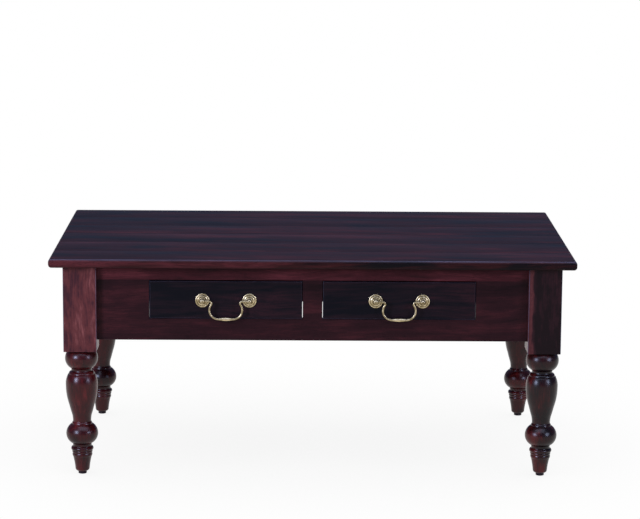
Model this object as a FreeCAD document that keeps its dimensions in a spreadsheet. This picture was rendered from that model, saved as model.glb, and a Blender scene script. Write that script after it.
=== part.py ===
import FreeCAD, Part
import math
import os
import re

import Sketcher

# A coffee table of solid dark wood with two inset drawers, turned legs and brass bail pulls.
# Millimetres. The origin is on the floor under the middle of the top, X runs along the table's length,
# the drawers face -Y and Z is up. A formula is text in the names of the sizes below.

# Sizes of the table, each one set by itself
SIZES = {
    # Top
    "top_length": 1070,
    "top_depth": 640,
    "top_thickness": 18,
    "table_height": 460,
    "top_overhang": 26.8,
    "top_corner_round": 3,
    "top_upper_round": 5.5,
    "top_lower_round": 6.5,
    "tongue_thickness": 6,
    "tongue_length": 8,
    "tongue_stop": 40,
    "tongue_gap": 0.3,
    # Leg block and the foot glide
    "leg_block": 67.6,
    "block_round": 1.2,
    "foot_end_radius": 10.3,
    "glide_sole_radius": 7.4,
    "glide_edge": 1.2,
    "glide_edge_bulge": 0.35,
    "glide_radius": 8.6,
    "glide_height": 6,
    "glide_nail_radius": 1.5,
    "glide_nail_length": 14,
    # Aprons and front frame
    "apron_height": 155.5,
    "apron_thickness": 20,
    "apron_setback": 15,
    "apron_round": 1,
    "top_rail_height": 30,
    "bottom_rail_height": 44.5,
    "mid_stile_width": 40,
    "side_stile_width": 106.6,
    # Tenons and their mortises
    "tenon_thickness": 10,
    "tenon_length": 28,
    "tenon_shoulder": 8,
    "stub_length": 10,
    "mortise_gap": 0.5,
    # Corner braces
    "brace_thickness": 20,
    "brace_gap": 3,
    "brace_screw_inset": 15,
    # Bearers and the runners that the drawers hang on
    "bearer_thickness": 20,
    "runner_lift": 28,
    "runner_height": 14,
    "runner_bite": 5.5,
    "runner_setback": 25,
    "runner_end_gap": 40,
    "runner_play": 0.3,
    "runner_side_play": 0.5,
    "runner_screw_inset": 45,
    # Screws
    "screw_shank_radius": 1.9,
    "screw_head_radius": 3.8,
    "screw_head_height": 2.6,
    "screw_bite": 11,
    "screw_slack": 0.1,
    "hole_end_gap": 0.5,
    # Drawers
    "drawer_front_thickness": 20,
    "drawer_edge_round": 1.5,
    "drawer_side_gap": 1.1,
    "drawer_top_gap": 2.2,
    "drawer_bottom_gap": 0.5,
    "drawer_box_inset": 10,
    "drawer_back_gap": 84,
    "drawer_side_thickness": 12,
    "drawer_side_height": 60,
    "drawer_side_lift": 8,
    "drawer_dado": 8,
    "drawer_back_thickness": 12,
    "drawer_back_dado": 4,
    "drawer_back_drop": 6,
    "drawer_back_inset": 6,
    "drawer_bottom_thickness": 5,
    "drawer_bottom_groove": 5,
    "drawer_bottom_lift": 7,
    # Handles
    "handle_rise": 38.8,
    "post_spacing": 96,
    "rosette_radius": 14.6,
    "rosette_rim_height": 1,
    "stem_radius": 2,
    "stem_tail": 2,
    "stem_slack": 0.2,
    "washer_radius": 4.5,
    "washer_thickness": 1,
    "nut_radius": 4,
    "nut_height": 3.2,
    "bail_wire_radius": 2.2,
    "bail_pin_slack": 0.05,
    "bail_pin_overrun": 2,
    "bail_drop": 37,
    "bail_neck_radius": 4.4,
    "bail_bow_radius": 19,
    "bail_grip_length": 29,
    "bail_grip_inset": 0.1,
    "bail_grip_swell": 1.5,
}

# Turned work from the bottom up: each stage's height, the radius at its top, and its bulge, which is how far
# its curve stands out of the straight line, or with a minus sign in from it
LEG_STAGES = {
    "toe": (5.2, 14.7, 1.2),
    "foot": (25.8, 19.1, -0.5),
    "shoulder": (7.6, 19.7, 1.2),
    "foot_bead": (5.0, 20.4, 1.0),
    "ring": (9.0, 19.4, 3.2),
    "lower_cove": (6.4, 20.4, -0.6),
    "lower_ball": (40.0, 23.2, 11.0),
    "lower_step": (1.0, 20.9, 0),
    "lower_collar": (5.0, 18.9, 0.5),
    "neck": (4.5, 18.8, -0.2),
    "flare": (15.0, 21.8, -0.6),
    "taper": (17.5, 26.5, 0),
    "belly": (40.0, 32.7, 1.6),
    "crown": (22.5, 28.0, 1.6),
    "upper_step": (0.8, 26.4, 0),
    "upper_collar": (6.2, 21.8, 1.4),
    "upper_cove": (6.0, 21.7, -0.8),
    "upper_ball": (39.5, 25.3, 10.2),
}
ROSETTE_STAGES = {
    "rosette_outer_ring": (0.7, 11.4, 0.8),
    "rosette_valley": (0.3, 10.6, 0),
    "rosette_inner_ring": (1.0, 7.4, 0.7),
    "rosette_dish": (0.6, 5.4, -0.3),
}
POST_STAGES = {
    "post_collar": (1.6, 4.4, 0.5),
    "post_waist": (1.8, 3.8, -0.4),
    "post_knob": (9.6, 2.4, 2.6),
}
TURNED_STAGES = {**LEG_STAGES, **ROSETTE_STAGES, **POST_STAGES}
for stage, (height, radius, bulge) in TURNED_STAGES.items():
    SIZES[f"{stage}_height"] = height
    SIZES[f"{stage}_radius"] = radius
    SIZES[f"{stage}_bulge"] = bulge

PLANK_COUNT = 6
RUNNER_SCREW_COUNT = 3
LEFT = -1
RIGHT = 1
FRONT = -1
BACK = 1
SIDES = {"left": LEFT, "right": RIGHT}
ENDS = {"front": FRONT, "back": BACK}

UP = FreeCAD.Vector(0, 0, 1)
ACROSS = FreeCAD.Vector(1, 0, 0)
OUT_OF_DRAWER = FreeCAD.Vector(0, -1, 0)


def stack(stages):
    """The formula of the height of several turned stages."""
    return "(" + " + ".join(f"{stage}_height" for stage in stages) + ")"


# Places that several pieces share, as formulas
UNDER_TOP = "(table_height - top_thickness)"
LEG_X = "(top_length / 2 - top_overhang - leg_block / 2)"
LEG_Y = "(top_depth / 2 - top_overhang - leg_block / 2)"
BLOCK_X = f"({LEG_X} - leg_block / 2)"
BLOCK_Y = f"({LEG_Y} - leg_block / 2)"
BLOCK_LOW = f"(glide_height + {stack(LEG_STAGES)})"
FRAME_X = f"({LEG_X} + leg_block / 2 - apron_setback)"
FRAME_Y = f"({LEG_Y} + leg_block / 2 - apron_setback)"
INNER_X = f"({FRAME_X} - apron_thickness)"
INNER_Y = f"({FRAME_Y} - apron_thickness)"
APRON_LOW = f"({UNDER_TOP} - apron_height)"
OPENING_LOW = f"({APRON_LOW} + bottom_rail_height)"
OPENING_HIGH = f"({UNDER_TOP} - top_rail_height)"
OPENING_NEAR = "(mid_stile_width / 2)"
OPENING_FAR = f"({BLOCK_X} - side_stile_width)"
OPENING_WIDTH = f"({OPENING_FAR} - {OPENING_NEAR})"
DRAWER_X = f"(({OPENING_NEAR} + {OPENING_FAR}) / 2)"
RUNNER_LOW = f"({OPENING_LOW} + runner_lift)"
RUNNER_HIGH = f"({RUNNER_LOW} + runner_height)"
RUNNER_FRONT = f"(runner_setback - {INNER_Y})"
RUNNER_BACK = f"({INNER_Y} - runner_end_gap)"
RUNNER_WIDTH = "(drawer_side_gap + drawer_box_inset + runner_bite)"
HANDLE_Z = f"({OPENING_LOW} + handle_rise)"
ROSETTE_HEIGHT = f"(rosette_rim_height + {stack(ROSETTE_STAGES)})"
PIVOT_OUT = f"({ROSETTE_HEIGHT} + post_collar_height + post_waist_height + post_knob_height / 2)"

doc = FreeCAD.newDocument("coffee_table")
sheet = doc.addObject("Spreadsheet::Sheet", "sizes")
for row, (alias, number) in enumerate(SIZES.items(), 1):
    sheet.set(f"A{row}", alias)
    sheet.set(f"B{row}", str(number))
    sheet.setAlias(f"B{row}", alias)
doc.recompute()

pieces = {}


def in_sheet(formula):
    """The same formula with every size's name pointing at its cell."""
    return re.sub("[a-z_]+", lambda word: f"sizes.{word[0]}" if word[0] in SIZES else word[0], formula)


def value(formula):
    """The number that a formula gives now."""
    return float(sheet.evalExpression(in_sheet(formula)))


def bind(target, name, formula):
    """Tie one property of an object to a formula."""
    target.setExpression(name, in_sheet(formula))


def place(target, spot, axis=None):
    """Put an object at a spot, three formulas, with its own Z turned to an axis."""
    if axis is not None:
        target.Placement = FreeCAD.Placement(FreeCAD.Vector(), FreeCAD.Rotation(UP, axis))
    for letter, formula in zip("xyz", spot):
        bind(target, f"Placement.Base.{letter}", formula)
    return target


def keep(target, label):
    """Name a finished piece and put it on the list of pieces to write."""
    target.Label = label
    pieces[label] = target
    return target


def reach(centre, side, near, far):
    """The span between two distances from a centre, towards minus (-1) or plus (1)."""
    if side > 0:
        return f"({centre} + {near})", f"({centre} + {far})"
    return f"({centre} - {far})", f"({centre} - {near})"


def box(xs, ys, zs):
    """A plain block between a low and a high formula along each axis."""
    block = doc.addObject("Part::Box", "block")
    for name, (low, high) in zip(("Length", "Width", "Height"), (xs, ys, zs)):
        bind(block, name, f"{high} - {low}")
    return place(block, [span[0] for span in (xs, ys, zs)])


def rod(spot, axis, radius, length):
    """A plain round rod that starts at a spot and runs along an axis."""
    cylinder = doc.addObject("Part::Cylinder", "rod")
    bind(cylinder, "Radius", radius)
    bind(cylinder, "Height", length)
    return place(cylinder, spot, axis)


def fuse(*shapes):
    """Several overlapping or touching shapes as one solid."""
    union = doc.addObject("Part::MultiFuse", "union")
    union.Shapes = list(shapes)
    union.Refine = True
    return union


def cut(base, *tools):
    """A solid less one or more tools."""
    result = doc.addObject("Part::Cut", "cut")
    result.Base = base
    result.Tool = tools[0] if len(tools) == 1 else fuse(*tools)
    result.Refine = True
    return result


def group(solids):
    """Separate solids that share one piece."""
    compound = doc.addObject("Part::Compound", "group")
    compound.Links = list(solids)
    return compound


def new_body(name):
    """An empty body."""
    return doc.addObject("PartDesign::Body", name)


def new_sketch(body, name, plane):
    """A sketch on one of a body's own origin planes."""
    sketch = body.newObject("Sketcher::SketchObject", name)
    origin_plane = next(face for face in body.Origin.OriginFeatures if face.Role == plane)
    sketch.AttachmentSupport = [(origin_plane, "")]
    sketch.MapMode = "FlatFace"
    return sketch


def dimension(sketch, kind, formula, *where):
    """Add one dimension to a sketch and tie it to a formula."""
    number = sketch.addConstraint(Sketcher.Constraint(kind, *where, value(formula)))
    bind(sketch, f"Constraints[{number}]", formula)


def arc_between(start, end, radius, turn):
    """The shorter arc of a radius between two points, to the left (1) or right (-1) of the way it runs."""
    chord = end - start
    leftward = FreeCAD.Vector(-chord.y, chord.x, 0).normalize()
    centre = (start + end) * 0.5 + leftward * turn * math.sqrt(radius**2 - (chord.Length / 2) ** 2)
    first, last = (start, end) if turn > 0 else (end, start)
    angles = [math.atan2(point.y - centre.y, point.x - centre.x) for point in (first, last)]
    return Part.ArcOfCircle(Part.Circle(centre, UP, radius), *angles)


def outline(sketch, corners, bends, closed=True):
    """Draw lines and arcs through corners and dimension every corner and radius.

    Corners are pairs of formulas. Bends maps a segment's number to the formula of its radius and to the way
    that it turns, 1 to the left and -1 to the right of its run.
    """
    points = [FreeCAD.Vector(value(x), value(y), 0) for x, y in corners]
    count = len(corners) if closed else len(corners) - 1
    start_end = []
    for number in range(count):
        start = points[number]
        end = points[(number + 1) % len(points)]
        radius, turn = bends.get(number, (None, 1))
        if radius is None:
            sketch.addGeometry(Part.LineSegment(start, end))
        else:
            sketch.addGeometry(arc_between(start, end, value(radius), turn))
        start_end.append((1, 2) if turn > 0 else (2, 1))
    for number in range(count if closed else count - 1):
        following = (number + 1) % count
        join = (number, start_end[number][1], following, start_end[following][0])
        sketch.addConstraint(Sketcher.Constraint("Coincident", *join))
    for number, (x, y) in enumerate(corners):
        segment = min(number, count - 1)
        vertex = start_end[segment][0 if segment == number else 1]
        dimension(sketch, "DistanceX", x, -1, 1, segment, vertex)
        dimension(sketch, "DistanceY", y, -1, 1, segment, vertex)
    for number, (radius, turn) in bends.items():
        dimension(sketch, "Radius", radius, number)


def bulge_radius(run, rise, bulge):
    """The formula of the radius of an arc from its chord's two legs and its bulge."""
    return f"((({run})^2 + ({rise})^2) / (8 * abs({bulge})) + abs({bulge}) / 2)"


def pad(body, corners, low, high):
    """A straight-sided block of an outline between two heights."""
    sketch = new_sketch(body, "plan", "XY_Plane")
    outline(sketch, corners, {})
    bind(sketch, "AttachmentOffset.Base.z", low)
    feature = body.newObject("PartDesign::Pad", "pad")
    feature.Profile = sketch
    bind(feature, "Length", f"{high} - {low}")
    return feature


def round_edges(body, radius, chosen):
    """Round the edges of a body that a test picks."""
    doc.recompute()
    base = body.Tip
    names = [f"Edge{number}" for number, edge in enumerate(base.Shape.Edges, 1) if chosen(edge)]
    feature = body.newObject("PartDesign::Fillet", "round")
    feature.Base = (base, names)
    bind(feature, "Radius", radius)
    return feature


def on_faces(xs, ys, zs, *faces):
    """A test for the edge of a board where two named faces meet, in the board's own frame."""
    limits = {
        "left": ("x", 0),
        "right": ("x", value(f"{xs[1]} - {xs[0]}")),
        "front": ("y", 0),
        "back": ("y", value(f"{ys[1]} - {ys[0]}")),
        "low": ("z", 0),
        "high": ("z", value(f"{zs[1]} - {zs[0]}")),
    }
    wanted = [limits[face] for face in faces]
    near = 1e-6

    def chosen(edge):
        return all(abs(getattr(vertex.Point, letter) - level) < near
                   for vertex in edge.Vertexes for letter, level in wanted)

    return chosen


def board(name, xs, ys, zs, rounds):
    """A board with rounded edges: each round is a radius and the pairs of faces whose edges it takes."""
    body = new_body(name)
    length = f"({xs[1]} - {xs[0]})"
    width = f"({ys[1]} - {ys[0]})"
    pad(body, [("0", "0"), (length, "0"), (length, width), ("0", width)], "0", f"({zs[1]} - {zs[0]})")
    for radius, pairs in rounds:
        tests = [on_faces(xs, ys, zs, *pair) for pair in pairs]
        round_edges(body, radius, lambda edge: any(test(edge) for test in tests))
    return place(body, [span[0] for span in (xs, ys, zs)])


def turn_on_lathe(body, low, start_radius, stages):
    """Add round work to a body: stages of height, top radius and bulge, as formulas, from a low level up."""
    corners = [("0", low), (start_radius, low)]
    bends = {}
    level = low
    for number, (height, radius, bulge) in enumerate(stages, 1):
        if value(bulge):
            run = f"{radius} - {corners[-1][0]}"
            bends[number] = (bulge_radius(run, height, bulge), 1 if value(bulge) > 0 else -1)
        level = f"{level} + {height}"
        corners.append((radius, level))
    corners.append(("0", level))
    sketch = new_sketch(body, "profile", "XZ_Plane")
    outline(sketch, corners, bends)
    feature = body.newObject("PartDesign::Revolution", "turning")
    feature.Profile = sketch
    feature.ReferenceAxis = (sketch, ["V_Axis"])
    feature.Angle = 360
    return feature


def named_stages(stages):
    """The formulas of stages that have cells of their own."""
    return [(f"{stage}_height", f"{stage}_radius", f"{stage}_bulge") for stage in stages]


def screw(spot, axis, length, slack="0", tail="0"):
    """A countersunk screw with its head face at a spot, or with slack and a tail the hole for it."""
    head = doc.addObject("Part::Cone", "head")
    bind(head, "Radius1", f"screw_head_radius + {slack}")
    bind(head, "Radius2", f"screw_shank_radius + {slack}")
    bind(head, "Height", "screw_head_height")
    place(head, spot, axis)
    return fuse(head, rod(spot, axis, f"screw_shank_radius + {slack}", f"{length} + {tail}"))


def screw_hole(spot, axis, length):
    """The clearance hole of a countersunk screw."""
    return screw(spot, axis, length, "screw_slack", "hole_end_gap")


def tenon_bar(along, length, across, levels, gap="0"):
    """A bar as long as a rail with both its tenons, or with a gap the space that the tenons need."""
    run = (f"(-{length} - {gap})", f"({length} + {gap})")
    if along == "x":
        return box(run, across, levels)
    return box(across, run, levels)


def middle(low, high, thickness):
    """A span of a thickness in the middle of a wider one."""
    return f"(({low} + {high} - {thickness}) / 2)", f"(({low} + {high} + {thickness}) / 2)"


# Where the rails' tenons run: direction, half length with tenons, span across, span of heights
FRONT_FACES = (f"(-{FRAME_Y})", f"(-{INNER_Y})")
BACK_FACES = (INNER_Y, FRAME_Y)
FULL_TENON = (f"({APRON_LOW} + tenon_shoulder)", f"({UNDER_TOP} - tenon_shoulder)")
TOP_RAIL_TENON = (f"({OPENING_HIGH} + tenon_shoulder)", f"({UNDER_TOP} - tenon_shoulder)")
BOTTOM_RAIL_TENON = (f"({APRON_LOW} + tenon_shoulder)", f"({OPENING_LOW} - tenon_shoulder)")
TENON_REACH_X = f"({BLOCK_X} + tenon_length)"
TENON_REACH_Y = f"({BLOCK_Y} + tenon_length)"
FRONT_TENON = middle(*FRONT_FACES, "tenon_thickness")
BACK_TENON = middle(*BACK_FACES, "tenon_thickness")


def side_faces(side):
    """The inner and outer face of the apron on one side."""
    return reach("0", side, INNER_X, FRAME_X)


def side_tenon(side):
    """The span across the tenons of the apron on one side."""
    return middle(*side_faces(side), "tenon_thickness")


# Screws that hold the top: two through the front top rail, one through each corner brace
BRACE_NEAR = "(2 * (leg_block - apron_setback - apron_thickness) + brace_gap)"
BRACE_FAR = f"({BRACE_NEAR} + brace_thickness * sqrt(2))"
BRACE_SCREW_REACH = f"(({BRACE_NEAR} + {BRACE_FAR}) / 2 - brace_screw_inset)"
TOP_SCREW_LENGTH = "(top_rail_height + screw_bite)"


def top_screw_spots():
    """Where the heads of the top's screws sit."""
    for side in SIDES.values():
        yield f"{side} * {DRAWER_X}", f"-({FRAME_Y} + {INNER_Y}) / 2", OPENING_HIGH
        brace_x = f"{side} * ({INNER_X} - {BRACE_SCREW_REACH})"
        for end in ENDS.values():
            yield brace_x, f"{end} * ({INNER_Y} - brace_screw_inset)", OPENING_HIGH


def top_screw_holes():
    """One tool that cuts every hole of the top's screws."""
    return fuse(*[screw_hole(spot, UP, TOP_SCREW_LENGTH) for spot in top_screw_spots()])


def make_top(holes):
    """Planks side by side with stopped tongues in grooves, rounded where they meet the edge of the top."""
    half = "(top_length / 2)"
    plank_depth = f"(top_depth / {PLANK_COUNT})"
    zs = (UNDER_TOP, "table_height")
    tongue_levels = middle(*zs, "tongue_thickness")
    groove_levels = middle(*zs, "(tongue_thickness + 2 * tongue_gap)")
    tongue_run = (f"(tongue_stop - {half})", f"({half} - tongue_stop)")
    groove_run = (f"(tongue_stop - tongue_gap - {half})", f"({half} - tongue_stop + tongue_gap)")
    for number in range(PLANK_COUNT):
        near = f"({number} * {plank_depth} - top_depth / 2)"
        far = f"({number + 1} * {plank_depth} - top_depth / 2)"
        edges = ["left", "right"]
        corners = []
        if number == 0:
            edges.append("front")
            corners = [("left", "front"), ("right", "front")]
        if number == PLANK_COUNT - 1:
            edges.append("back")
            corners = [("left", "back"), ("right", "back")]
        rounds = [("top_corner_round", corners)] if corners else []
        rounds.append(("top_upper_round", [(edge, "high") for edge in edges]))
        rounds.append(("top_lower_round", [(edge, "low") for edge in edges]))
        plank = board("plank", (f"(-{half})", half), (near, far), zs, rounds)
        if number < PLANK_COUNT - 1:
            plank = fuse(plank, box(tongue_run, (far, f"({far} + tongue_length)"), tongue_levels))
        tools = [holes]
        if number > 0:
            tools.append(box(groove_run, (near, f"({near} + tongue_length + tongue_gap)"), groove_levels))
        keep(cut(plank, *tools), f"top_plank_{number + 1}")


def make_leg(side, end, label, mortises):
    """A leg: a square block, turned below it, with mortises and a hole for the nail of its glide."""
    body = new_body("leg")
    half = "(leg_block / 2)"
    square = [(f"(-{half})", f"(-{half})"), (half, f"(-{half})"), (half, half), (f"(-{half})", half)]
    pad(body, square, BLOCK_LOW, UNDER_TOP)
    upright = value(f"{UNDER_TOP} - {BLOCK_LOW}")
    round_edges(body, "block_round", lambda edge: abs(edge.tangentAt(edge.FirstParameter).z) > 0.5
                and math.isclose(edge.Length, upright))
    turn_on_lathe(body, "glide_height", "foot_end_radius", named_stages(LEG_STAGES))
    spot = (f"{side} * {LEG_X}", f"{end} * {LEG_Y}", "0")
    place(body, spot)
    nail_top = "glide_nail_length + hole_end_gap"
    nail_hole = rod((spot[0], spot[1], "glide_height"), UP, "glide_nail_radius + screw_slack", nail_top)
    keep(cut(body, nail_hole, *mortises), label)


def make_glide(side, end, label):
    """A round glide with its nail, standing on the floor under a leg."""
    body = new_body("glide")
    stages = [
        ("glide_edge", "glide_radius", "glide_edge_bulge"),
        ("(glide_height - glide_edge)", "glide_radius", "0"),
        ("0", "glide_nail_radius", "0"),
        ("glide_nail_length", "glide_nail_radius", "0"),
    ]
    turn_on_lathe(body, "0", "glide_sole_radius", stages)
    keep(place(body, (f"{side} * {LEG_X}", f"{end} * {LEG_Y}", "0")), label)


def make_legs():
    """Four legs and their glides."""
    for side_name, side in SIDES.items():
        for end_name, end in ENDS.items():
            label = f"{end_name}_{side_name}"
            mortises = [tenon_bar("y", TENON_REACH_Y, side_tenon(side), FULL_TENON, "mortise_gap")]
            if end == FRONT:
                for levels in (TOP_RAIL_TENON, BOTTOM_RAIL_TENON):
                    mortises.append(tenon_bar("x", TENON_REACH_X, FRONT_TENON, levels, "mortise_gap"))
            else:
                mortises.append(tenon_bar("x", TENON_REACH_X, BACK_TENON, FULL_TENON, "mortise_gap"))
            make_leg(side, end, f"{label}_leg", mortises)
            make_glide(side, end, f"{label}_glide")


# Stiles of the front frame, as spans along X
STILES = {
    "left": reach("0", LEFT, OPENING_FAR, BLOCK_X),
    "mid": (f"(-{OPENING_NEAR})", OPENING_NEAR),
    "right": reach("0", RIGHT, OPENING_FAR, BLOCK_X),
}
# Bearers behind the stiles, flush with the sides of the openings
BEARERS = {
    "left": reach("0", LEFT, OPENING_FAR, f"({OPENING_FAR} + bearer_thickness)"),
    "mid": (f"(-{OPENING_NEAR})", OPENING_NEAR),
    "right": reach("0", RIGHT, OPENING_FAR, f"({OPENING_FAR} + bearer_thickness)"),
}


def stile_stub(name, gap="0"):
    """The bar through a stile that makes its two stub tenons, or the space that they need."""
    low, high = STILES[name]
    xs = (f"({low} + tenon_shoulder)", f"({high} - tenon_shoulder)")
    zs = (f"({OPENING_LOW} - stub_length - {gap})", f"({OPENING_HIGH} + stub_length + {gap})")
    return box(xs, FRONT_TENON, zs)


def bearer_stub(name, gap="0"):
    """The bar through a bearer that makes its two stub tenons, or the space that they need."""
    zs = (f"({RUNNER_LOW} + tenon_shoulder)", f"({OPENING_HIGH} - tenon_shoulder)")
    xs = middle(*BEARERS[name], "tenon_thickness")
    return tenon_bar("y", f"({INNER_Y} + stub_length)", xs, zs, gap)


def make_aprons():
    """Back and side aprons with tenons, the back one mortised for the bearers."""
    zs = (APRON_LOW, UNDER_TOP)
    arrises = [("apron_round", [("front", "low"), ("back", "low")])]
    back = board("back_apron", (f"(-{BLOCK_X})", BLOCK_X), BACK_FACES, zs, arrises)
    back = fuse(back, tenon_bar("x", TENON_REACH_X, BACK_TENON, FULL_TENON))
    keep(cut(back, *[bearer_stub(name, "mortise_gap") for name in BEARERS]), "back_apron")
    for name, side in SIDES.items():
        arrises = [("apron_round", [("left", "low"), ("right", "low")])]
        apron = board("side_apron", side_faces(side), (f"(-{BLOCK_Y})", BLOCK_Y), zs, arrises)
        keep(fuse(apron, tenon_bar("y", TENON_REACH_Y, side_tenon(side), FULL_TENON)), f"{name}_apron")


def make_front_frame(holes):
    """Top and bottom rail between the front legs and three stiles between the rails."""
    xs = (f"(-{BLOCK_X})", BLOCK_X)
    mortises = [stile_stub(name, "mortise_gap") for name in STILES]
    top_rail = box(xs, FRONT_FACES, (OPENING_HIGH, UNDER_TOP))
    top_rail = fuse(top_rail, tenon_bar("x", TENON_REACH_X, FRONT_TENON, TOP_RAIL_TENON))
    keep(cut(top_rail, holes, *mortises), "front_top_rail")
    arrises = [("apron_round", [("front", "low"), ("back", "low")])]
    bottom_rail = board("bottom_rail", xs, FRONT_FACES, (APRON_LOW, OPENING_LOW), arrises)
    bottom_rail = fuse(bottom_rail, tenon_bar("x", TENON_REACH_X, FRONT_TENON, BOTTOM_RAIL_TENON))
    keep(cut(bottom_rail, *mortises), "front_bottom_rail")
    for name, span in STILES.items():
        stile = fuse(box(span, FRONT_FACES, (OPENING_LOW, OPENING_HIGH)), stile_stub(name))
        keep(cut(stile, bearer_stub(name, "mortise_gap")), f"front_{name}_stile")


def make_braces(holes):
    """A brace across each corner under the top, past the inner corner of the leg."""
    turns = {(LEFT, FRONT): 0, (RIGHT, FRONT): 90, (RIGHT, BACK): 180, (LEFT, BACK): 270}
    names = {number: name for name, number in ENDS.items()}
    for side_name, side in SIDES.items():
        for end in ENDS.values():
            body = new_body("brace")
            plan = [(BRACE_NEAR, "0"), (BRACE_FAR, "0"), ("0", BRACE_FAR), ("0", BRACE_NEAR)]
            pad(body, plan, "0", "top_rail_height")
            body.Placement.Rotation = FreeCAD.Rotation(UP, turns[side, end])
            place(body, (f"{side} * {INNER_X}", f"{end} * {INNER_Y}", OPENING_HIGH))
            keep(cut(body, holes), f"{names[end]}_{side_name}_brace")


def runner_screw_spots(face):
    """Where the heads of one runner's screws sit on its face."""
    first = f"({RUNNER_FRONT} + runner_screw_inset)"
    last = f"({RUNNER_BACK} - runner_screw_inset)"
    for number in range(RUNNER_SCREW_COUNT):
        share = number / (RUNNER_SCREW_COUNT - 1)
        yield face, f"({first} * {1 - share} + {last} * {share})", f"({RUNNER_LOW} + runner_height / 2)"


def make_runners():
    """Bearers from the stiles to the back apron, with a runner strip on each side of each opening."""
    length = f"({RUNNER_WIDTH} + screw_bite)"
    bearer_holes = {name: [] for name in BEARERS}
    screws = []
    for drawer, side in SIDES.items():
        for edge, wall in SIDES.items():
            root = f"({side} * {DRAWER_X} + {wall} * {OPENING_WIDTH} / 2)"
            face = f"({root} - {wall} * {RUNNER_WIDTH})"
            xs = (root, face) if wall == LEFT else (face, root)
            spots = list(runner_screw_spots(face))
            holes = [screw_hole(spot, ACROSS * wall, length) for spot in spots]
            screws += [screw(spot, ACROSS * wall, length) for spot in spots]
            bearer_holes[drawer if side == wall else "mid"] += holes
            runner = box(xs, (RUNNER_FRONT, RUNNER_BACK), (RUNNER_LOW, RUNNER_HIGH))
            keep(cut(runner, *holes), f"{drawer}_drawer_{edge}_runner")
    keep(group(screws), "runner_screws")
    for name, span in BEARERS.items():
        bearer = box(span, (f"(-{INNER_Y})", INNER_Y), (RUNNER_LOW, OPENING_HIGH))
        bearer = fuse(bearer, bearer_stub(name))
        keep(cut(bearer, *bearer_holes[name]), f"{name}_bearer")


# Shared places of a drawer, measured from its own middle and from its front
FRONT_HALF = f"({OPENING_WIDTH} / 2 - drawer_side_gap)"
BOX_HALF = f"({FRONT_HALF} - drawer_box_inset)"
BOX_INSIDE = f"({BOX_HALF} - drawer_side_thickness)"
FRONT_INSIDE = f"(drawer_front_thickness - {FRAME_Y})"
BOX_BACK = f"({INNER_Y} - drawer_back_gap)"
BOX_LOW = f"({OPENING_LOW} + drawer_side_lift)"
BOX_HIGH = f"({BOX_LOW} + drawer_side_height)"
PANEL_LOW = f"({BOX_LOW} + drawer_bottom_lift)"
PANEL_HIGH = f"({PANEL_LOW} + drawer_bottom_thickness)"
PANEL_HALF = f"({BOX_INSIDE} + drawer_bottom_groove)"
BACK_HALF = f"({BOX_INSIDE} + drawer_back_dado)"
BACK_OUTSIDE = f"({BOX_BACK} - drawer_back_inset)"
BACK_SPAN = (f"({BACK_OUTSIDE} - drawer_back_thickness)", BACK_OUTSIDE)


def both_ways(centre, half):
    """The span of a half width each way from a centre."""
    return f"({centre} - {half})", f"({centre} + {half})"


def make_drawer_box(name, centre):
    """Sides grooved for the runners, a back housed between them and a bottom slid into grooves."""
    panel_levels = (PANEL_LOW, PANEL_HIGH)
    panel_run = (f"({FRONT_INSIDE} - drawer_bottom_groove)", BACK_SPAN[1])
    back_levels = (PANEL_HIGH, f"({BOX_HIGH} - drawer_back_drop)")
    side_run = (f"({FRONT_INSIDE} - drawer_dado)", BOX_BACK)
    groove_run = (f"({RUNNER_FRONT} - runner_play)", BOX_BACK)
    groove_levels = (f"({RUNNER_LOW} - runner_play)", f"({RUNNER_HIGH} + runner_play)")
    groove_depth = "(runner_bite + runner_side_play)"
    for edge, wall in SIDES.items():
        side = box(reach(centre, wall, BOX_INSIDE, BOX_HALF), side_run, (BOX_LOW, BOX_HIGH))
        groove_span = reach(centre, wall, f"({BOX_HALF} - {groove_depth})", BOX_HALF)
        runner_groove = box(groove_span, groove_run, groove_levels)
        panel_groove = box(reach(centre, wall, BOX_INSIDE, PANEL_HALF), panel_run, panel_levels)
        back_dado = box(reach(centre, wall, BOX_INSIDE, BACK_HALF), BACK_SPAN, back_levels)
        keep(cut(side, runner_groove, panel_groove, back_dado), f"{name}_drawer_{edge}_side")
    keep(box(both_ways(centre, BACK_HALF), BACK_SPAN, back_levels), f"{name}_drawer_back")
    keep(box(both_ways(centre, PANEL_HALF), panel_run, panel_levels), f"{name}_drawer_bottom")


def make_drawer_front(name, centre):
    """An inset front, housed for the sides, grooved for the bottom and drilled for the handle."""
    ys = (f"(-{FRAME_Y})", FRONT_INSIDE)
    zs = (f"({OPENING_LOW} + drawer_bottom_gap)", f"({OPENING_HIGH} - drawer_top_gap)")
    rounds = [("drawer_edge_round", [("front", face) for face in ("left", "right", "low", "high")])]
    front = board("drawer_front", both_ways(centre, FRONT_HALF), ys, zs, rounds)
    dado_run = (f"({FRONT_INSIDE} - drawer_dado)", FRONT_INSIDE)
    tools = []
    for wall in SIDES.values():
        tools.append(box(reach(centre, wall, BOX_INSIDE, BOX_HALF), dado_run, (BOX_LOW, BOX_HIGH)))
    groove_run = (f"({FRONT_INSIDE} - drawer_bottom_groove)", FRONT_INSIDE)
    tools.append(box(both_ways(centre, PANEL_HALF), groove_run, (PANEL_LOW, PANEL_HIGH)))
    for wall in SIDES.values():
        spot = (f"{centre} + {wall} * post_spacing / 2", FRONT_INSIDE, HANDLE_Z)
        tools.append(rod(spot, OUT_OF_DRAWER, "stem_radius + stem_slack", "drawer_front_thickness"))
    keep(cut(front, *tools), f"{name}_drawer_front")


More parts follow.
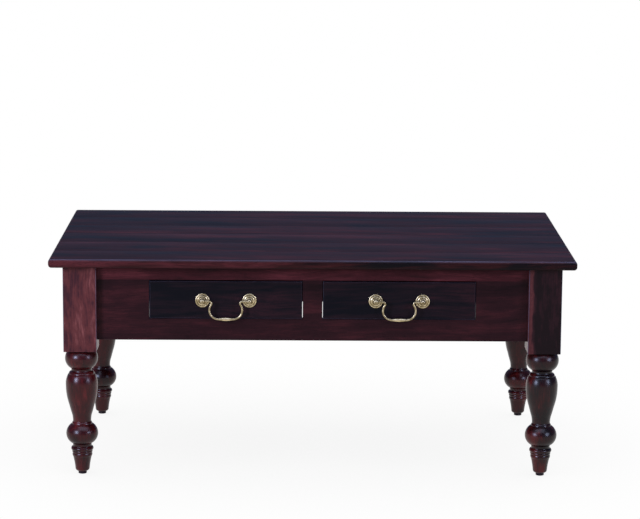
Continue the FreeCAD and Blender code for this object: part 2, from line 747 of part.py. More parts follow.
def make_handle(name, centre):
    """Two rosettes and posts bolted through the drawer front and a bail that swings between the posts."""
    fasteners = []
    for edge, wall in SIDES.items():
        spot = (f"{centre} + {wall} * post_spacing / 2", f"-{FRAME_Y}", HANDLE_Z)
        rosette = new_body("rosette")
        stages = [("rosette_rim_height", "rosette_radius", "0"), *named_stages(ROSETTE_STAGES)]
        turn_on_lathe(rosette, "0", "rosette_radius", stages)
        place(rosette, spot, OUT_OF_DRAWER)
        bore = rod(spot, OUT_OF_DRAWER, "stem_radius + stem_slack", ROSETTE_HEIGHT)
        keep(cut(rosette, bore), f"{name}_{edge}_rosette")
        make_post(f"{name}_{edge}_post", spot, wall)
        seat = f"({FRONT_INSIDE} + washer_thickness)"
        washer_spot = (spot[0], seat, HANDLE_Z)
        nut_spot = (spot[0], f"({seat} + nut_height)", HANDLE_Z)
        hole = rod(nut_spot, OUT_OF_DRAWER, "stem_radius + screw_slack", "nut_height + washer_thickness")
        fasteners.append(cut(rod(washer_spot, OUT_OF_DRAWER, "washer_radius", "washer_thickness"), hole))
        nut = doc.addObject("Part::Prism", "nut")
        nut.Polygon = 6
        bind(nut, "Circumradius", "nut_radius")
        bind(nut, "Height", "nut_height")
        fasteners.append(cut(place(nut, nut_spot, OUT_OF_DRAWER), hole))
    keep(group(fasteners), f"{name}_handle_nuts")
    make_bail(f"{name}_bail", (centre, f"-{FRAME_Y} - {PIVOT_OUT}", HANDLE_Z))


def make_post(label, spot, wall):
    """A post with a threaded stem behind and a cross hole in its knob for the end of the bail."""
    body = new_body("post")
    stem_low = "(-drawer_front_thickness - washer_thickness - nut_height - stem_tail)"
    stages = [
        (f"({ROSETTE_HEIGHT} - {stem_low})", "stem_radius", "0"),
        ("0", "rosette_dish_radius", "0"),
        *named_stages(POST_STAGES),
    ]
    turn_on_lathe(body, stem_low, "stem_radius", stages)
    place(body, spot, OUT_OF_DRAWER)
    hole_start = f"{spot[0]} + {wall} * (bail_pin_overrun + hole_end_gap)"
    hole_spot = (hole_start, f"{spot[1]} - {PIVOT_OUT}", HANDLE_Z)
    inward = ACROSS * -wall
    reach_in = "post_waist_radius + post_knob_bulge + bail_pin_overrun + hole_end_gap"
    hole = rod(hole_spot, inward, "bail_wire_radius + bail_pin_slack", reach_in)
    keep(cut(body, hole), label)


def make_bail(label, spot):
    """A wire bent down from both posts in a swan neck and a round bow to a straight grip that swells."""
    neck_x = ("(bail_grip_length / 2 + sqrt((bail_neck_radius + bail_bow_radius)^2"
              " - (bail_drop - bail_neck_radius - bail_bow_radius)^2))")
    share = "(bail_neck_radius / (bail_neck_radius + bail_bow_radius))"
    turn_x = f"({neck_x} + (bail_grip_length / 2 - {neck_x}) * {share})"
    turn_z = f"(-bail_neck_radius - (bail_drop - bail_neck_radius - bail_bow_radius) * {share})"
    half = [
        ("(post_spacing / 2 + bail_pin_overrun)", "0"),
        (neck_x, "0"),
        (turn_x, turn_z),
        ("(bail_grip_length / 2)", "(-bail_drop)"),
    ]
    path = [(f"(-{x})", z) for x, z in half] + half[::-1]
    neck, bow = "bail_neck_radius", "bail_bow_radius"
    bends = {1: (neck, -1), 2: (bow, 1), 4: (bow, 1), 5: (neck, -1)}
    body = new_body("bail")
    spine = new_sketch(body, "spine", "XZ_Plane")
    outline(spine, path, bends, closed=False)
    section = new_sketch(body, "section", "YZ_Plane")
    bind(section, "AttachmentOffset.Base.z", path[0][0])
    section.addGeometry(Part.Circle(FreeCAD.Vector(), UP, value("bail_wire_radius")))
    section.addConstraint(Sketcher.Constraint("Coincident", 0, 3, -1, 1))
    dimension(section, "Radius", "bail_wire_radius", 0)
    wire = body.newObject("PartDesign::AdditivePipe", "wire")
    wire.Profile = section
    wire.Spine = spine
    doc.recompute()
    profile = new_sketch(body, "grip_profile", "XZ_Plane")
    bind(profile, "AttachmentOffset.Base.y", "-bail_drop")
    end = "(bail_grip_length / 2)"
    rim = "(bail_wire_radius - bail_grip_inset)"
    swell = bulge_radius("bail_grip_length", "0", "bail_grip_swell")
    outline(profile, [(f"(-{end})", "0"), (end, "0"), (end, rim), (f"(-{end})", rim)], {2: (swell, 1)})
    grip = body.newObject("PartDesign::Revolution", "grip")
    grip.Profile = profile
    grip.ReferenceAxis = (profile, ["H_Axis"])
    grip.Angle = 360
    keep(place(body, spot), label)


def make_table():
    """All pieces of the table."""
    holes = top_screw_holes()
    make_top(holes)
    make_legs()
    make_aprons()
    make_front_frame(holes)
    make_braces(holes)
    keep(group([screw(spot, UP, TOP_SCREW_LENGTH) for spot in top_screw_spots()]), "top_screws")
    make_runners()
    for name, side in SIDES.items():
        centre = f"({side} * {DRAWER_X})"
        make_drawer_front(name, centre)
        make_drawer_box(name, centre)
        make_handle(name, centre)


def check_and_write():
    """Stop if anything in the document failed, then write one file for each piece."""
    doc.recompute()
    failed = [thing.Name for thing in doc.Objects if {"Invalid", "Error"} & set(thing.State)]
    if failed:
        raise RuntimeError(f"failed: {failed}")
    for thing in doc.Objects:
        if thing.TypeId == "Part::Cut" and thing.Shape.Volume > thing.Base.Shape.Volume:
            raise RuntimeError(f"{thing.Label} gained volume")
    for label, piece in pieces.items():
        if piece.Shape.isNull() or not piece.Shape.isValid():
            raise RuntimeError(f"{label} has no valid shape")
    os.makedirs("parts", exist_ok=True)
    for label, piece in pieces.items():
        piece.Shape.exportStep(f"parts/{label}.step")
        print(f"{label}: {len(piece.Shape.Solids)} solid, {piece.Shape.Volume:.0f} mm3")
    print(f"{len(pieces)} pieces written")


make_table()
check_and_write()
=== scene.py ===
"""Looks of a coffee table: planked top, turned legs, two drawers and brass bail pulls on its CAD frame.

Metres, in the CAD's own frame: X along the table, the drawers face -Y, Z up, the floor at zero.
"""

import logging
import math
from collections.abc import Callable, Iterable, Mapping, Sequence
from dataclasses import dataclass
from enum import Enum
from functools import partial

import bmesh
import bpy
import numpy as np
from bpy.types import ID, Material, Node, NodeSocket, NodeTree, Object
from mathutils import Matrix, Vector


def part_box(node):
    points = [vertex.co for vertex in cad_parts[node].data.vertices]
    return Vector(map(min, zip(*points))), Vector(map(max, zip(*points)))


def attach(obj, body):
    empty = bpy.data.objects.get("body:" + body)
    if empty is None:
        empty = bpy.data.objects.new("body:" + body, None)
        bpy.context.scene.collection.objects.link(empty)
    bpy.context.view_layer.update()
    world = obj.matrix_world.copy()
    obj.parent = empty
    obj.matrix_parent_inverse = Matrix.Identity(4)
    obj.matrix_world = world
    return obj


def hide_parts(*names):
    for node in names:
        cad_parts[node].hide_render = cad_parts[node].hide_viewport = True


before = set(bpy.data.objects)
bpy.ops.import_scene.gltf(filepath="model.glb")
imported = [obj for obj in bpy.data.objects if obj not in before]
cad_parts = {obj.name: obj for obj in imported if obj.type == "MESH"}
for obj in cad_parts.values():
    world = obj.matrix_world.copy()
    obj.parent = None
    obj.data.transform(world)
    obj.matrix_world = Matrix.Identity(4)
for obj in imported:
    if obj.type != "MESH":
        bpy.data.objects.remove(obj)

Array = np.ndarray
Pair = tuple[float, float]
Triple = tuple[float, float, float]
AddNode = Callable[..., Node]

LOG = logging.getLogger("coffee_table")
MM = 0.001
IMAGE_WIDTH = 640
SENSOR_WIDTH = 36.0
MERGE_MM = 0.001
SHARP_DEGREES = 38

# Stands in for no length at all where a formula divides by it or compares with it
TINY = 1e-6

# Inputs of a colour Mix node, whose names repeat
MIX_FACTOR = 0
MIX_A = 6
MIX_B = 7


class Way(Enum):
    """One of the two ways along an axis."""

    @property
    def word(self) -> str:
        """The way's name in the CAD nodes."""
        return self.name.lower()


class Side(Way):
    """Left or right of the table, as the way along X."""

    LEFT = -1
    RIGHT = 1


class End(Way):
    """Front or back of the table, as the way along Y."""

    FRONT = -1
    BACK = 1


class Grain(Enum):
    """The way that a board's grain runs, as the turn in radians that lays it along X."""

    ALONG_X = (0.0, 0.0, 0.0)
    ALONG_Y = (0.0, 0.0, -math.pi / 2)
    ALONG_Z = (0.0, math.pi / 2, 0.0)


class Tone(Enum):
    """How a board took the stain: the colours of its dark streaks, of its body and of its light streaks."""

    BLACK = ("#08070c", "#150c10", "#251215")
    DARK = ("#150709", "#240e10", "#371617")
    MEDIUM = ("#220d0d", "#421a19", "#5e2c29")
    RED = ("#220c0d", "#3a1517", "#562425")
    OILED = ("#4a3020", "#734d33", "#946c4a")
    LIGHT = ("#391a1d", "#562825", "#77403a")
    STRIPED = ("#120609", "#240f12", "#4e2523")
    PURPLE = ("#070406", "#2b0e0d", "#481c1c")
    TURNED_RED = ("#170304", "#340707", "#541513")
    TURNED_DARK = ("#0b0203", "#200505", "#4a110d")


def linear(code: str) -> tuple[float, float, float, float]:
    """Turn an sRGB hex colour into linear light, by the curve of the sRGB standard.

    Args:
        code: The colour as #rrggbb.

    Returns:
        Red, green, blue and an alpha of one.
    """
    channels = np.array([int(code[place:place + 2], 16) for place in (1, 3, 5)]) / 255
    light = np.where(channels <= 0.04045, channels / 12.92, ((channels + 0.055) / 1.055) ** 2.4)
    return (*light.tolist(), 1.0)


def add_node(tree: NodeTree, kind: str, inputs: Mapping[str | int, object], **settings: object) -> Node:
    """Add one node with its settings and with what goes into it.

    Args:
        tree: Node tree of a material or of the world.
        kind: Blender's name of the kind of node, after the word ShaderNode.
        inputs: By name or number, a constant, an output, or a node, whose first output in use is linked.
        settings: Values of the node's own properties.

    Returns:
        The new node.
    """
    node = tree.nodes.new(f"ShaderNode{kind}")
    for name, setting in settings.items():
        setattr(node, name, setting)
    for key, feed in inputs.items():
        if isinstance(feed, Node):
            feed = next(output for output in feed.outputs if output.enabled)
        if isinstance(feed, NodeSocket):
            tree.links.new(feed, node.inputs[key])
        else:
            node.inputs[key].default_value = feed
    return node


def new_material(name: str) -> tuple[Material, AddNode]:
    """Make an empty node material.

    Args:
        name: The material's name.

    Returns:
        The material, and the function that adds a node to it.
    """
    material = bpy.data.materials.new(name)
    material.use_nodes = True
    material.node_tree.nodes.clear()
    return material, partial(add_node, material.node_tree)


@dataclass(frozen=True)
class Timber:
    """Sheesham, planed and sanded, wiped with dark mahogany stain and sprayed with satin lacquer.

    The heart wood takes the stain blue-black and the outer wood takes it red, so the eye sees soft patches
    drawn out along the board, with thin growth lines and short dark pores over them. The lacquer is thin and
    gives a soft, dim shine. Fibres and pores are drawn about twice as coarse as real ones, which would be
    finer than a dot of the picture. A piece's own marks change the wood: "sap" makes it take less stain,
    "recess" darkens it, with stain that gathers and with painted shade, and "worn" is a pale line along an
    edge, partly lacquer rubbed pale and partly a painted highlight. A board without marks gets that pale
    line within edge_mm of its sharp edges. Patches, clouds and fibres weigh in by weights, and at the three
    stain_steps the wood is all dark, all body and all light.
    """

    roughness: float = 0.36
    specular: float = 0.07
    # Pale bluish grey along edges: lacquer rubbed pale, and a painted highlight
    rubbed: str = "#57515c"
    sap_shift: float = 0.1
    patch_mm: Pair = (320.0, 46.0)
    cloud_mm: Pair = (90.0, 22.0)
    fibre_mm: Pair = (75.0, 2.6)
    pore_mm: Pair = (15.0, 1.0)
    pore_strength: float = 0.6
    contrast: float = 1.0
    weights: Triple = (0.5, 0.3, 0.2)
    stain_steps: Triple = (0.39, 0.5, 0.63)
    pore_band: Pair = (0.58, 0.7)
    ring_mm: float = 12.0
    late_wood: float = 0.7
    ring_strength: float = 0.45
    wander_mm: float = 14.0
    wander_size_mm: float = 240.0
    heart_mm: Triple = (0.0, 70.0, 95.0)
    board_step_mm: Triple = (731.0, 87.0, 113.0)
    run_out: Triple = (0.0, 0.03, 0.045)
    bump_mm: float = 0.12
    roughness_swing: float = 0.07
    edge_mm: float = 0.0
    edge_turn: Pair = (0.98, 0.8)
    edge_wear: float = 0.8
    wear_band: Pair = (0.3, 0.6)
    least_wear: float = 0.45

    def stretched(self, add: AddNode, figure: NodeSocket, size_mm: Pair, detail: float) -> NodeSocket:
        """Noise drawn out along the grain.

        Args:
            add: Adds a node to the material.
            figure: Coordinates with the grain along X, in metres.
            size_mm: Length along the grain and width across it of one patch.
            detail: Finer layers of noise on top.

        Returns:
            The noise, from zero to one.
        """
        along, across = (1 / (size * MM) for size in size_mm)
        scaled = add("VectorMath", {0: figure, 1: (along, across, across)}, operation="MULTIPLY")
        noise = add("TexNoise", {"Vector": scaled, "Scale": 1.0, "Detail": detail, "Roughness": 0.55})
        return noise.outputs["Fac"]

    def figure(self, add: AddNode, grain: Grain, board: int) -> NodeSocket:
        """Lay out the coordinates of the wood's figure, with the grain along X and wandering a little.

        Args:
            add: Adds a node to the material.
            grain: The way that the board's grain runs.
            board: Its number, which picks another place in the tree.

        Returns:
            The coordinates, in metres.
        """
        place = add("TexCoord", {})
        rotation = tuple(turn + lean for turn, lean in zip(grain.value, self.run_out))
        in_tree = (np.array(self.heart_mm) + np.array(self.board_step_mm) * board) * MM
        turned = add("Mapping",
                     {"Vector": place.outputs["Object"], "Location": in_tree, "Rotation": rotation})
        wander = add("TexNoise",
                     {"Vector": turned, "Scale": 1 / (self.wander_size_mm * MM), "Detail": 2.0})
        sway = add("VectorMath", {0: wander.outputs["Color"], 1: (0.5, 0.5, 0.5)}, operation="SUBTRACT")
        # The noise sways half a unit each way
        reach = 2 * self.wander_mm * MM
        moved = add("VectorMath", {0: sway, 1: (0.0, reach, reach), 2: turned}, operation="MULTIPLY_ADD")
        return moved.outputs[0]

    def rubbed_edges(self, add: AddNode) -> NodeSocket:
        """Find a board's sharp edges, where a rounded normal turns away from the face's own, for a pale line
        there: lacquer rubbed pale and a painted highlight.

        Args:
            add: Adds a node to the material.

        Returns:
            The pale line's share, from zero on the faces up to edge_wear.
        """
        eased = add("Bevel", {"Radius": self.edge_mm * MM}, samples=4)
        face = add("NewGeometry", {})
        turn = add("VectorMath", {0: eased, 1: face.outputs["True Normal"]}, operation="DOT_PRODUCT")
        edge = add("MapRange",
                   {"Value": turn, "From Min": self.edge_turn[0], "From Max": self.edge_turn[1],
                    "To Max": self.edge_wear})
        return edge.outputs[0]

    def material(self, name: str, tone: Tone, grain: Grain, board: int) -> Material:
        """Make the wood of one board.

        Args:
            name: The material's name.
            tone: How the board took the stain.
            grain: The way its grain runs.
            board: Its number, which picks another place in the tree.

        Returns:
            The material.
        """
        material, add = new_material(name)
        figure = self.figure(add, grain, board)
        sizes = (self.patch_mm, self.cloud_mm, self.fibre_mm)
        patch, cloud, fibre = (self.stretched(add, figure, size, detail=3.0) for size in sizes)
        pore = self.stretched(add, figure, self.pore_mm, detail=1.0)
        # Patches, clouds and fibres are weighed into one depth of stain, with contrast about its middle
        by_patch, by_cloud, by_fibre = self.weights
        fibres = add("Math", {0: fibre, 1: by_fibre}, operation="MULTIPLY")
        clouds = add("Math", {0: cloud, 1: by_cloud, 2: fibres}, operation="MULTIPLY_ADD")
        depth = add("Math", {0: patch, 1: by_patch, 2: clouds}, operation="MULTIPLY_ADD")
        uneven = add("Math",
                     {0: depth, 1: self.contrast, 2: 0.5 - 0.5 * self.contrast}, operation="MULTIPLY_ADD")
        sap = add("Attribute", {}, attribute_name="sap")
        paler = add("Math",
                    {0: sap.outputs["Fac"], 1: self.sap_shift, 2: uneven}, operation="MULTIPLY_ADD")
        all_dark, all_body, all_light = self.stain_steps
        to_body = add("MapRange",
                      {"Value": paler, "From Min": all_dark, "From Max": all_body},
                      interpolation_type="SMOOTHSTEP")
        to_light = add("MapRange",
                       {"Value": paler, "From Min": all_body, "From Max": all_light},
                       interpolation_type="SMOOTHSTEP")
        dark, body, light = (linear(code) for code in tone.value)
        stained = add("Mix", {MIX_FACTOR: to_body, MIX_A: dark, MIX_B: body}, data_type="RGBA")
        streaked = add("Mix", {MIX_FACTOR: to_light, MIX_A: stained, MIX_B: light}, data_type="RGBA")
        # The wave's rings repeat every tau / 20 of its own unit
        rings = add("TexWave",
                    {"Vector": figure, "Scale": math.tau / 20 / (self.ring_mm * MM), "Distortion": 4.0,
                     "Detail": 3.0, "Detail Scale": 0.5},
                    wave_type="RINGS", rings_direction="X", wave_profile="SIN")
        late = add("MapRange",
                   {"Value": rings.outputs["Fac"], "From Min": self.late_wood, "From Max": 1.0,
                    "To Max": self.ring_strength})
        faint = add("Math", {0: late, 1: cloud}, operation="MULTIPLY")
        pores = add("MapRange",
                    {"Value": pore, "From Min": self.pore_band[0], "From Max": self.pore_band[1],
                     "To Max": self.pore_strength})
        recess = add("Attribute", {}, attribute_name="recess")
        sunk = add("Math", {0: pores, 1: recess.outputs["Fac"]}, operation="MAXIMUM")
        lines = add("Math", {0: sunk, 1: faint}, operation="MAXIMUM")
        filled = add("Mix", {MIX_FACTOR: lines, MIX_A: streaked, MIX_B: dark}, data_type="RGBA")
        # A pale line along edges, lacquer rubbed pale and a painted highlight, from the bevel's edges or the
        # worn mark
        if self.edge_mm:
            worn = self.rubbed_edges(add)
        else:
            worn = add("Attribute", {}, attribute_name="worn").outputs["Fac"]
        patchy = add("MapRange",
                     {"Value": cloud, "From Min": self.wear_band[0], "From Max": self.wear_band[1],
                      "To Min": self.least_wear})
        edge = add("Math", {0: worn, 1: patchy}, operation="MULTIPLY")
        rubbed = add("Mix",
                     {MIX_FACTOR: edge, MIX_A: filled, MIX_B: linear(self.rubbed)}, data_type="RGBA")
        dull = add("MapRange",
                   {"Value": cloud, "To Min": self.roughness - self.roughness_swing,
                    "To Max": self.roughness + self.roughness_swing})
        height = add("Math", {0: fibre, 1: pores}, operation="SUBTRACT")
        bump = add("Bump", {"Strength": 0.3, "Distance": self.bump_mm * MM, "Height": height})
        lacquer = add("BsdfPrincipled",
                      {"Base Color": rubbed, "Roughness": dull, "IOR": 1.5,
                       "Specular IOR Level": self.specular, "Normal": bump})
        add("OutputMaterial", {"Surface": lacquer})
        return material


@dataclass(frozen=True)
class Brass:
    """Cast brass, tumbled and aged, then rubbed back on what stands proud.

    It is pale and warm, dull brown where polish doesn't reach, with a satin shine that cast skin breaks up.
    """

    bright: str = "#d2c09a"
    worn: str = "#a08f69"
    aged: str = "#36260f"
    roughness: float = 0.32
    worn_dulling: float = 0.1
    rubbed_polish: float = 0.06
    cloud_mm: float = 7.0
    rubbed_band: Pair = (0.4, 0.62)
    skin_mm: float = 0.9
    skin_depth_mm: float = 0.1

    def material(self, name: str) -> Material:
        """Make the brass.

        Args:
            name: The material's name.

        Returns:
            The material.
        """
        material, add = new_material(name)
        place = add("TexCoord", {}).outputs["Object"]
        cloud = add("TexNoise",
                    {"Vector": place, "Scale": 1 / (self.cloud_mm * MM), "Detail": 4.0}).outputs["Fac"]
        skin = add("TexNoise",
                   {"Vector": place, "Scale": 1 / (self.skin_mm * MM), "Detail": 2.0}).outputs["Fac"]
        rubbed = add("MapRange",
                     {"Value": cloud, "From Min": self.rubbed_band[0], "From Max": self.rubbed_band[1]})
        metal = add("Mix",
                    {MIX_FACTOR: rubbed, MIX_A: linear(self.worn), MIX_B: linear(self.bright)},
                    data_type="RGBA")
        recess = add("Attribute", {}, attribute_name="recess")
        patina = add("Mix",
                     {MIX_FACTOR: recess.outputs["Fac"], MIX_A: metal, MIX_B: linear(self.aged)},
                     data_type="RGBA")
        dull = add("MapRange",
                   {"Value": cloud, "To Min": self.roughness + self.worn_dulling,
                    "To Max": self.roughness - self.rubbed_polish})
        bump = add("Bump", {"Strength": 0.12, "Distance": self.skin_depth_mm * MM, "Height": skin})
        surface = add("BsdfPrincipled",
                      {"Base Color": patina, "Metallic": 1.0, "Roughness": dull, "Normal": bump})
        add("OutputMaterial", {"Surface": surface})
        return material


@dataclass(frozen=True)
class Speckled:
    """A plain hard finish, such as zinc plate or moulded nylon, which fine speckle keeps from being flat."""

    pale: str
    deep: str
    metallic: float
    roughness: float
    speckle_mm: float
    specular: float = 0.5
    roughness_swing: float = 0.08
    depth_mm: float = 0.05

    def material(self, name: str) -> Material:
        """Make the finish.

        Args:
            name: The material's name.

        Returns:
            The material.
        """
        material, add = new_material(name)
        place = add("TexCoord", {}).outputs["Object"]
        noise = add("TexNoise", {"Vector": place, "Scale": 1 / (self.speckle_mm * MM), "Detail": 3.0})
        speckle = noise.outputs["Fac"]
        colour = add("Mix",
                     {MIX_FACTOR: speckle, MIX_A: linear(self.deep), MIX_B: linear(self.pale)},
                     data_type="RGBA")
        dull = add("MapRange",
                   {"Value": speckle, "To Min": self.roughness - self.roughness_swing,
                    "To Max": self.roughness + self.roughness_swing})
        bump = add("Bump", {"Strength": 0.2, "Distance": self.depth_mm * MM, "Height": speckle})
        surface = add("BsdfPrincipled",
                      {"Base Color": colour, "Metallic": self.metallic, "Roughness": dull,
                       "Specular IOR Level": self.specular, "Normal": bump})
        add("OutputMaterial", {"Surface": surface})
        return material


def paint(node: str, material: Material) -> None:
    """Give a CAD node a material.

    Args:
        node: The CAD node's name.
        material: Its finish.
    """
    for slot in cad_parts[node].material_slots:
        slot.material = material
    LOG.info("dressed %s in %s", node, material.name)


def put_in_scene(name: str, data: ID) -> Object:
    """Make an object and put it in the scene.

    Args:
        name: The object's name.
        data: Its mesh, lamp or camera.

    Returns:
        The object, at the origin.
    """
    placed = bpy.data.objects.new(name, data)
    bpy.context.scene.collection.objects.link(placed)
    return placed


def make_piece(
    name: str,
    points: Array,
    finishes: Sequence[Material],
    marks: Mapping[str, Array],
    finish_of_row: Array | None = None,
) -> Object:
    """Make a closed piece of a grid of points whose last column joins the first.

    Args:
        name: The piece's name.
        points: Rows by columns by three, in metres; a row drawn to one point makes a pole.
        finishes: The piece's materials.
        marks: What the materials read at each point, each spread over the rows and columns.
        finish_of_row: Which material each row of faces has, the first one if not given.

    Returns:
        The piece, at the origin, with its place in its mesh.
    """
    rows, columns = points.shape[:2]
    row, column = np.meshgrid(np.arange(rows - 1), np.arange(columns), indexing="ij")
    after = (column + 1) % columns
    corners = (row * columns + column, row * columns + after,
               (row + 1) * columns + after, (row + 1) * columns + column)
    quads = np.stack(corners, axis=-1).reshape(-1, 4)
    mesh = bpy.data.meshes.new(name)
    mesh.from_pydata(points.reshape(-1, 3).tolist(), [], quads.tolist())
    for mark, depth in marks.items():
        spread = np.broadcast_to(depth, (rows, columns)).astype(np.float32)
        mesh.attributes.new(mark, "FLOAT", "POINT").data.foreach_set("value", spread.ravel())
    for finish in finishes:
        mesh.materials.append(finish)
    if finish_of_row is not None:
        mesh.polygons.foreach_set("material_index", np.repeat(finish_of_row, columns).astype(np.int32))
    joined = bmesh.new()
    joined.from_mesh(mesh)
    bmesh.ops.remove_doubles(joined, verts=joined.verts, dist=MERGE_MM * MM)
    bmesh.ops.recalc_face_normals(joined, faces=joined.faces)
    joined.to_mesh(mesh)
    joined.free()
    mesh.shade_smooth()
    mesh.set_sharp_from_angle(angle=math.radians(SHARP_DEGREES))
    return put_in_scene(name, mesh)


def seat(piece: Object, body: str, node: str) -> None:
    """Let a piece ride on a body in the place of a CAD node.

    Args:
        piece: The new piece.
        body: The CAD body that carries it.
        node: The CAD node that it stands for.
    """
    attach(piece, body)
    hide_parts(node)
    LOG.info("built %s with %d faces on %s", piece.name, len(piece.data.polygons), body)


@dataclass(frozen=True)
class Stage:
    """A stage of turned work: its height, the radius at its top, and its bulge out of a straight line."""

    height: float
    radius: float
    bulge: float = 0.0


@dataclass(frozen=True)
class TurnedProfile:
    """The outline of turned work, in millimetres, from a starting radius up through its stages."""

    start: float
    stages: tuple[Stage, ...]
    step: float = 0.7
    softness: float = 0.5
    bell_points: int = 4

    def line(self) -> Array:
        """Work out the outline.

        Each stage is an arc of a circle: with chord c and bulge b its radius R is c^2 / 8b + b / 2, and a
        point at the angle s from its middle lies R sin s along the chord and R cos s - R + b out of it.
        Stages are then run together and softened by a bell curve, as sanding does.

        Returns:
            Rows of radius and height, in millimetres.
        """
        runs = []
        radius, level = self.start, 0.0
        for stage in self.stages:
            along = np.array([stage.radius - radius, stage.height])
            chord = float(np.hypot(*along))
            unit = along / chord
            outward = np.array([unit[1], -unit[0]])
            middle = np.array([radius, level]) + along / 2
            count = max(2, round(chord / self.step))
            share = np.linspace(-1, 1, count, endpoint=False)[:, None]
            bulge = stage.bulge or TINY
            bend = chord**2 / (8 * bulge) + bulge / 2
            angle = 2 * math.atan(2 * bulge / chord) * share
            proud = bend * (np.cos(angle) - 1) + bulge
            runs.append(middle + unit * bend * np.sin(angle) + outward * proud)
            radius, level = stage.radius, level + stage.height
        line = np.concatenate([*runs, [[radius, level]]])
        reach = np.arange(-self.bell_points, self.bell_points + 1) * self.step
        bell = np.exp(-0.5 * (reach / self.softness) ** 2)
        padded = np.pad(line, ((self.bell_points, self.bell_points), (0, 0)), mode="edge")
        soft = np.stack([np.convolve(side, bell / bell.sum(), "valid") for side in padded.T], axis=1)
        soft[0], soft[-1] = line[0], line[-1]
        return soft


def groove_depth(levels: Array, reach: int, full: float) -> Array:
    """How deep each level along an outline lies below the running mean of the levels, as a share.

    Args:
        levels: The radius or the height of each point.
        reach: Points each way in the running mean.
        full: Depth that counts as one.

    Returns:
        A share from zero to one for each point.
    """
    padded = np.pad(levels, reach, mode="edge")
    mean = np.convolve(padded, np.full(2 * reach + 1, 1 / (2 * reach + 1)), "valid")
    return np.clip((mean - levels) / full, 0, 1)


def circle(angles: Array) -> Array:
    """Points of a circle of radius one: the cosine and the sine of each angle."""
    return np.stack([np.cos(angles), np.sin(angles)], axis=-1)


def with_poles(points: Array, first: Array, last: Array) -> Array:
    """Close a grid by drawing one more row at each end to a single point.

    Args:
        points: Rows by columns by three.
        first: The point before the first row.
        last: The point after the last row.

    Returns:
        The grid with two rows more.
    """
    ends = [np.broadcast_to(pole, points[:1].shape) for pole in (first, last)]
    return np.concatenate([ends[0], points, ends[1]])


def spin(line: Array, angles: Array, base: Array, axes: Array) -> Array:
    """Carry an outline round an axis.

    A point of the outline with radius r and height h goes to base + r (cos a U + sin a V) + h W.

    Args:
        line: Rows of radius and height, in metres.
        angles: The angles a, in radians.
        base: Where the axis starts.
        axes: The directions U, V and W as rows.

    Returns:
        Rows by angles by three points.
    """
    ring = np.cos(angles)[:, None] * axes[0] + np.sin(angles)[:, None] * axes[1]
    return base + line[:, :1, None] * ring + line[:, 1:, None] * axes[2]


